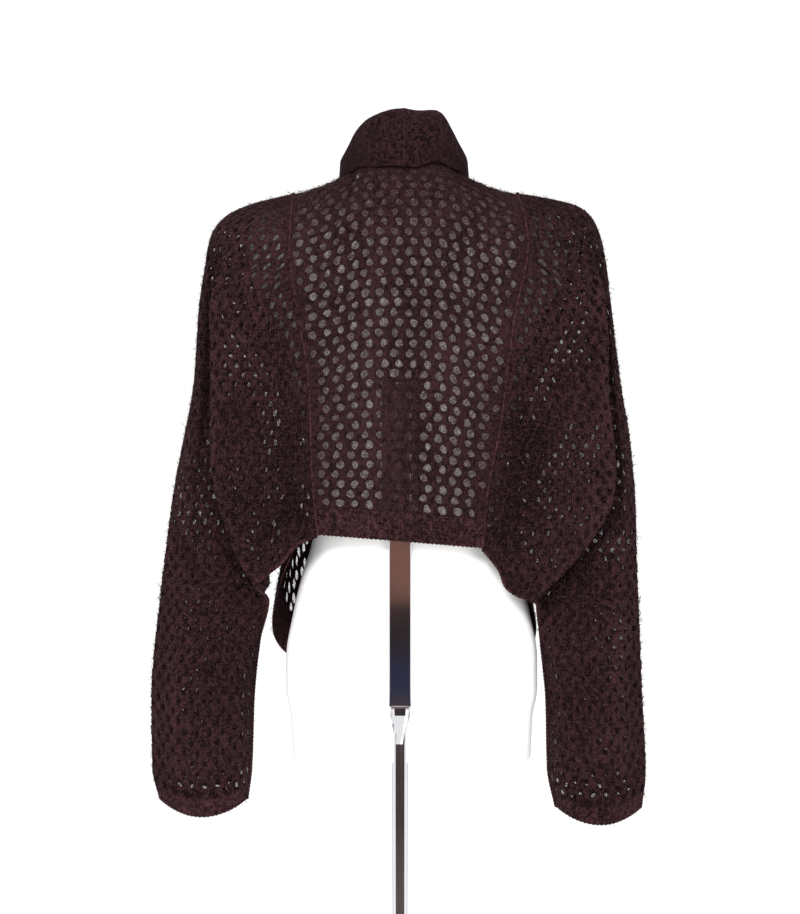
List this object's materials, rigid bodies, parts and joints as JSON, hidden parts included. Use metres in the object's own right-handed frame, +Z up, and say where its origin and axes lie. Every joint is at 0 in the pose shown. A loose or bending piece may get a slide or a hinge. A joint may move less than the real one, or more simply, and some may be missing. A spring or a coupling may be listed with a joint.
{
  "type": "cardigan on a dress form",
  "caption": "Openwork batwing cardigan with a shawl collar, hanging open on a white limbless dress form with a bar, rod and round foot.",
  "frame": {"origin": "middle of the foot's underside, on the axis of the upright", "axes": "+Z up along the upright, the front of the garment faces -Y, the wearer's left is +X"},
  "size_m": [0.624, 0.4223, 1.556],
  "materials": {
    "brown_mohair": "matt brushed knit",
    "white_form": "satin",
    "bright_chrome": "polished",
    "satin_steel": "satin",
    "black_steel": "dark satin"
  },
  "bodies": {
    "root": {"back": "brown_mohair", "back_hem": "brown_mohair", "front_left": "brown_mohair", "front_hem_left": "brown_mohair", "front_right": "brown_mohair", "front_hem_right": "brown_mohair", "sleeve_left": "brown_mohair", "cuff_left": "brown_mohair", "sleeve_right": "brown_mohair", "cuff_right": "brown_mohair", "collar_left": "brown_mohair", "collar_right": "brown_mohair", "form": "white_form", "bracket": "black_steel", "bar": "bright_chrome", "rod": "bright_chrome", "socket": "bright_chrome", "base": "satin_steel"}
  },
  "joints": []
}
